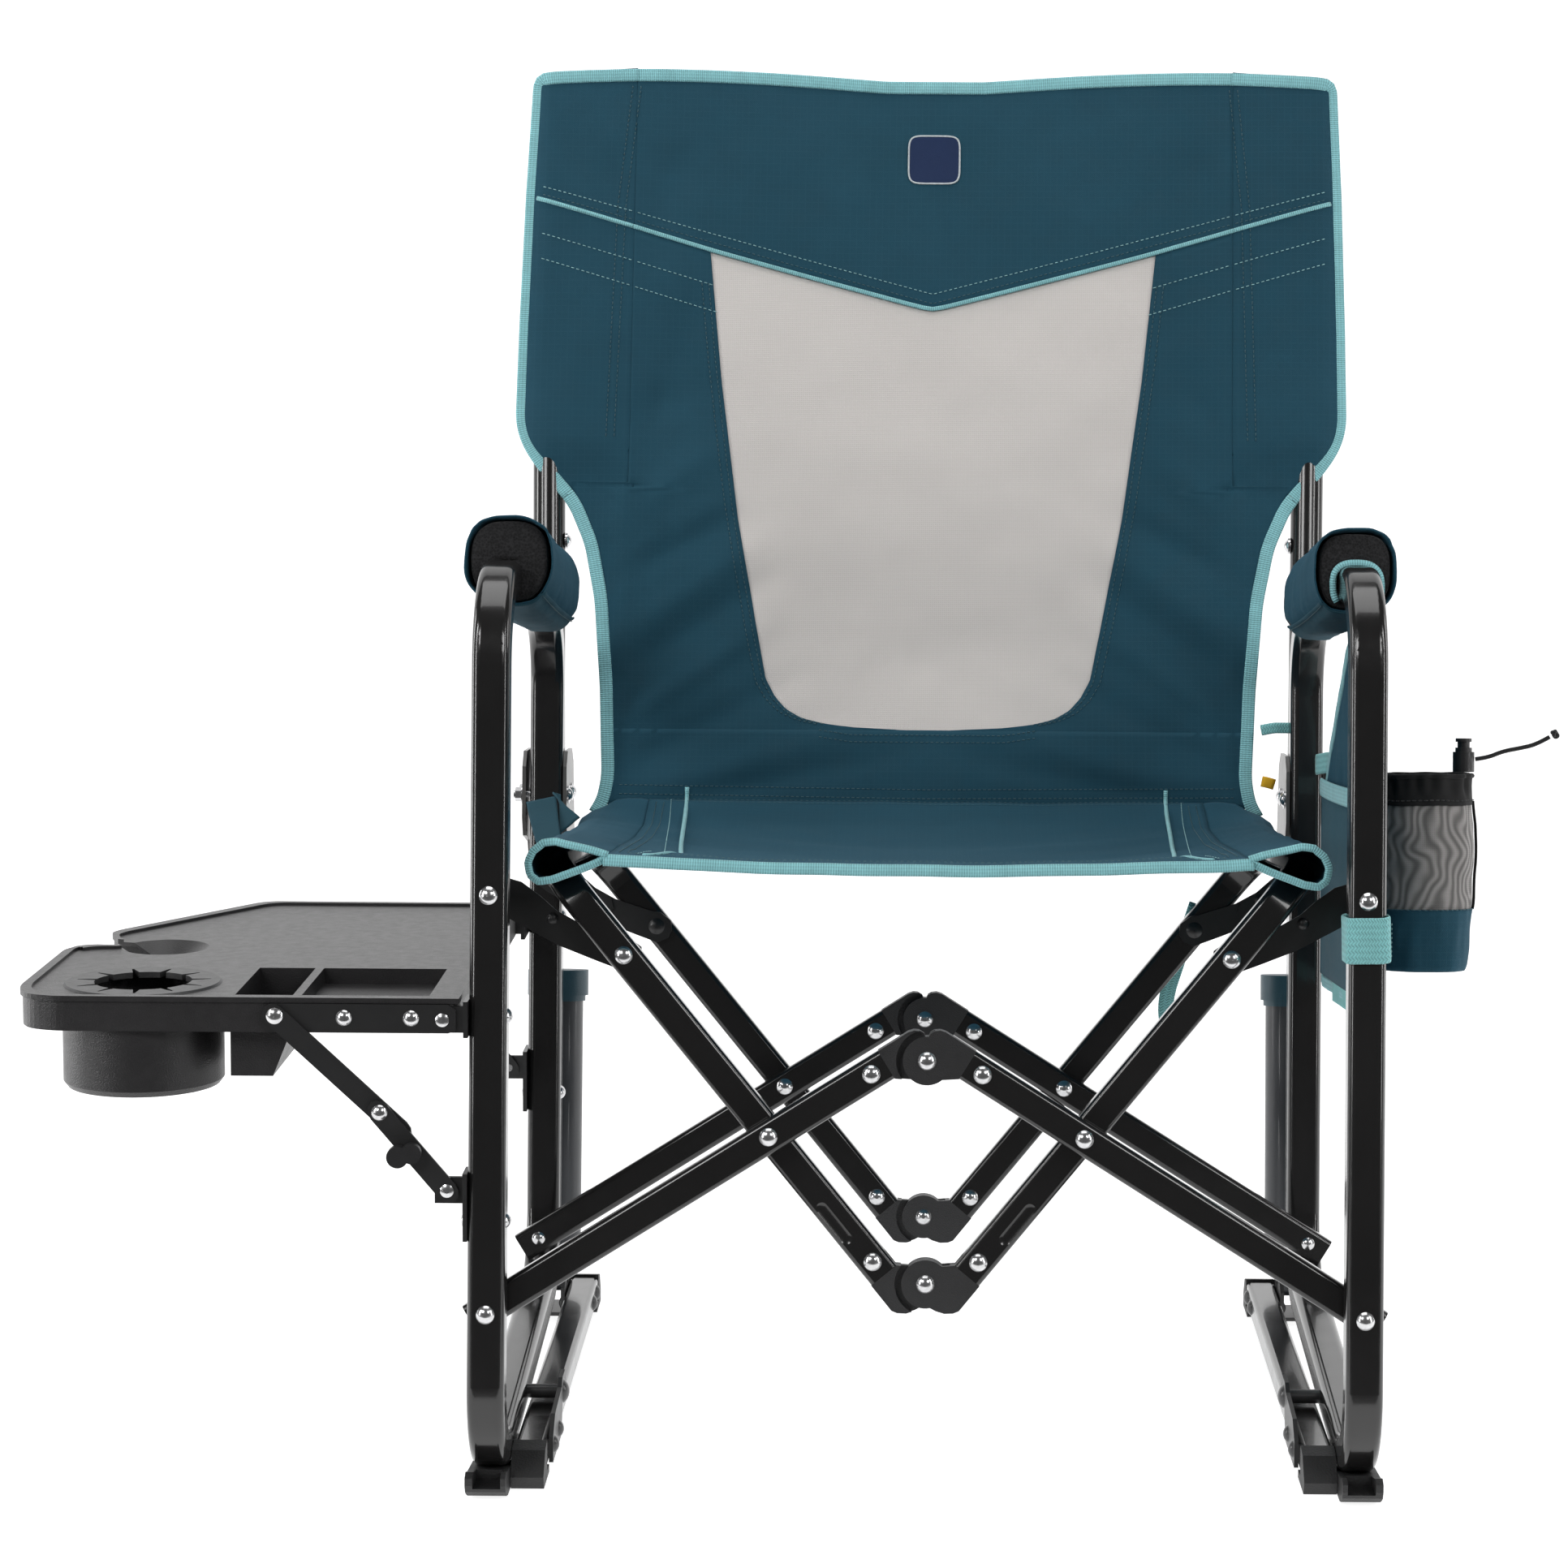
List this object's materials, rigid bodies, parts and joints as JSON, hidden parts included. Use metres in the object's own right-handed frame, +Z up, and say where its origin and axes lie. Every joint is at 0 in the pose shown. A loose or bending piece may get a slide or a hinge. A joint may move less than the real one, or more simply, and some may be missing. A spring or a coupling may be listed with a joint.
{
  "type": "folding camp rocking chair",
  "caption": "Folding camp rocking chair on sprung ground tubes, with sling seat and back, padded arms, crossed folding frame, fold-down side table and a mesh drink pouch.",
  "frame": {"origin": "centre of the bounding box's base, on the ground, measured without the pouch's free cord", "axes": "+X towards the drink pouch side, +Y from the front of the seat to the back, +Z up"},
  "size_m": [1.0572, 0.6532, 0.9829],
  "materials": {
    "frame_black": "gloss",
    "plate_black": "satin",
    "plate_grey": "satin",
    "rivet_steel": "satin",
    "bolt_black": "satin",
    "spring_grey": "satin",
    "cap_teal": "satin",
    "rod_steel": "polished",
    "shoe_rubber": "matte",
    "knuckle_black": "satin",
    "foam_black": "matte",
    "fabric_teal": "matte",
    "pouch_mesh": "matte",
    "strap_turquoise": "matte",
    "table_grey": "satin",
    "ring_rubber": "satin",
    "strut_black": "satin",
    "lock_plastic": "satin",
    "cord_black": "matte"
  },
  "bodies": {
    "base_right": {"ground_tube_right": "frame_black", "ground_feet_right": "shoe_rubber", "ground_brackets_right": "plate_black", "ground_bolts_right": "bolt_black"},
    "side_right": {"side_loop_right": "frame_black", "front_shoe_right": "shoe_rubber", "back_upright_right": "frame_black", "upright_bracket_right": "plate_grey", "side_fasteners_right": "rivet_steel", "arm_pad_right": "foam_black", "back_sling": "fabric_teal", "organizer_panel": "fabric_teal", "drink_pouch": "pouch_mesh", "leg_strap": "strap_turquoise", "cord_lock": "lock_plastic", "drawcord": "cord_black", "cord_knot": "cord_black"},
    "bars_right": {"lower_bars_right": "frame_black", "upper_knuckles_right": "knuckle_black", "lower_bar_rivets_right": "rivet_steel"},
    "seat_right": {"seat_frame_right": "frame_black", "lower_knuckles_right": "knuckle_black", "seat_frame_rivets_right": "rivet_steel", "seat_sling": "fabric_teal"},
    "link_right": {"link_plates_right": "plate_black"},
    "spring_body_right": {"spring_cylinder_right": "spring_grey", "spring_cap_right": "cap_teal", "spring_coil_right": "rivet_steel"},
    "spring_rod_right": {"spring_rod_right": "rod_steel"},
    "base_left": {"ground_tube_left": "frame_black", "ground_feet_left": "shoe_rubber", "ground_brackets_left": "plate_black", "ground_bolts_left": "bolt_black"},
    "side_left": {"side_loop_left": "frame_black", "front_shoe_left": "shoe_rubber", "back_upright_left": "frame_black", "upright_bracket_left": "plate_grey", "side_fasteners_left": "rivet_steel", "arm_pad_left": "foam_black", "table_brackets": "strut_black", "table_bracket_bolts": "rivet_steel"},
    "bars_left": {"lower_bars_left": "frame_black", "upper_knuckles_left": "knuckle_black", "lower_bar_rivets_left": "rivet_steel"},
    "seat_left": {"seat_frame_left": "frame_black", "lower_knuckles_left": "knuckle_black", "seat_frame_rivets_left": "rivet_steel"},
    "link_left": {"link_plates_left": "plate_black"},
    "spring_body_left": {"spring_cylinder_left": "spring_grey", "spring_cap_left": "cap_teal", "spring_coil_left": "rivet_steel"},
    "spring_rod_left": {"spring_rod_left": "rod_steel"},
    "table": {"table_top": "table_grey", "cup_ring": "ring_rubber", "table_arms": "strut_black", "table_rivets": "rivet_steel"},
    "strut_upper": {"strut_uppers": "strut_black"},
    "strut_lower": {"strut_lowers": "strut_black"},
    "button": {"lock_button": "lock_plastic"},
    "plunger": {"cord_lock_plunger": "lock_plastic"}
  },
  "joints": [
    {"name": "rock", "type": "hinge", "parent": "base_right", "child": "side_right", "pos_m": [0.117, -0.1604, 0.032], "axis": [-1, 0, 0], "range_deg": [0, 8], "stiffness_Nm_per_rad": 300, "springref_deg": -3.15},
    {"name": "fold", "type": "hinge", "parent": "side_right", "child": "bars_right", "pos_m": [0.4126, -0.28451, 0.12685], "axis": [0, 0.9936, -0.1132], "range_deg": [0, 49.06], "deforming": ["seat_sling", "back_sling"]},
    {"name": "seat_cross_right", "type": "hinge", "parent": "bars_right", "child": "seat_right", "pos_m": [0.2243, -0.27116, 0.24399], "axis": [0, 0.9936, -0.1132], "range_deg": [-86, 1]},
    {"name": "centre_lower", "type": "hinge", "parent": "seat_right", "child": "seat_left", "pos_m": [0.117, -0.26606, 0.14126], "axis": [0, 0.9936, -0.1132], "range_deg": [-1, 71]},
    {"name": "seat_cross_left", "type": "hinge", "parent": "seat_left", "child": "bars_left", "pos_m": [0.0097, -0.27116, 0.24399], "axis": [0, 0.9936, -0.1132], "range_deg": [-86, 1]},
    {"name": "lower_pivot_left", "type": "hinge", "parent": "bars_left", "child": "side_left", "pos_m": [-0.1786, -0.28451, 0.12685], "axis": [0, 0.9936, -0.1132], "range_deg": [-1, 51]},
    {"name": "link_pivot_right", "type": "hinge", "parent": "side_right", "child": "link_right", "pos_m": [0.4126, -0.2264, 0.40365], "axis": [0, 0.9936, -0.1132], "range_deg": [-1, 104]},
    {"name": "link_pivot_left", "type": "hinge", "parent": "side_left", "child": "link_left", "pos_m": [-0.1786, -0.2264, 0.40365], "axis": [0, 0.9936, -0.1132], "range_deg": [-104, 1]},
    {"name": "rock_left", "type": "hinge", "parent": "side_left", "child": "base_left", "pos_m": [0.117, -0.1604, 0.032], "axis": [-1, 0, 0], "range_deg": [-8.5, 0.5]},
    {"name": "spring_tilt_right", "type": "hinge", "parent": "base_right", "child": "spring_body_right", "pos_m": [0.409, 0.1546, 0.03], "axis": [-1, 0, 0], "range_deg": [-1, 12]},
    {"name": "spring_stroke_right", "type": "slide", "parent": "spring_body_right", "child": "spring_rod_right", "axis": [0, 0.148, 0.989], "range_m": [-0.046, 0.001], "deforming": ["spring_coil_right"]},
    {"name": "spring_tilt_left", "type": "hinge", "parent": "base_left", "child": "spring_body_left", "pos_m": [-0.175, 0.1546, 0.03], "axis": [-1, 0, 0], "range_deg": [-1, 12]},
    {"name": "spring_stroke_left", "type": "slide", "parent": "spring_body_left", "child": "spring_rod_left", "axis": [0, 0.148, 0.989], "range_m": [-0.046, 0.001], "deforming": ["spring_coil_left"]},
    {"name": "table_fold", "type": "hinge", "parent": "side_left", "child": "table", "pos_m": [-0.208, -0.3014, 0.3285], "axis": [0, -1, 0], "range_deg": [0, 62]},
    {"name": "strut_upper_pivot", "type": "hinge", "parent": "table", "child": "strut_upper", "pos_m": [-0.32, -0.3044, 0.331], "axis": [0, -1, 0], "range_deg": [-90, 1]},
    {"name": "strut_lower_pivot", "type": "hinge", "parent": "side_left", "child": "strut_lower", "pos_m": [-0.205, -0.3064, 0.213], "axis": [0, -1, 0], "range_deg": [-1, 132]},
    {"name": "lock_button_press", "type": "slide", "parent": "strut_lower", "child": "button", "axis": [0, 1, 0], "range_m": [0, 0.0021], "stiffness_N_per_m": 500, "springref_m": -0.001},
    {"name": "cord_lock_press", "type": "slide", "parent": "side_right", "child": "plunger", "axis": [0, -0.1132, -0.9936], "range_m": [0, 0.002], "stiffness_N_per_m": 400, "springref_m": -0.001}
  ],
  "couplings": [
    {"joint": "seat_cross_right", "follows": "fold", "ratio": -1.7054},
    {"joint": "centre_lower", "follows": "fold", "ratio": 1.4108},
    {"joint": "seat_cross_left", "follows": "fold", "ratio": -1.7054},
    {"joint": "lower_pivot_left", "follows": "fold", "ratio": 1},
    {"joint": "link_pivot_right", "follows": "fold", "ratio": 2.1023},
    {"joint": "link_pivot_left", "follows": "fold", "ratio": -2.1023},
    {"joint": "rock_left", "follows": "rock", "ratio": -1},
    {"joint": "spring_tilt_right", "follows": "rock", "ratio": 1.2334},
    {"joint": "spring_stroke_right", "follows": "rock", "m_per_rad": -0.30663},
    {"joint": "spring_tilt_left", "follows": "rock", "ratio": 1.2334},
    {"joint": "spring_stroke_left", "follows": "rock", "m_per_rad": -0.30663},
    {"joint": "strut_upper_pivot", "follows": "table_fold", "ratio": -1.3348},
    {"joint": "strut_lower_pivot", "follows": "table_fold", "ratio": 2.0467}
  ]
}
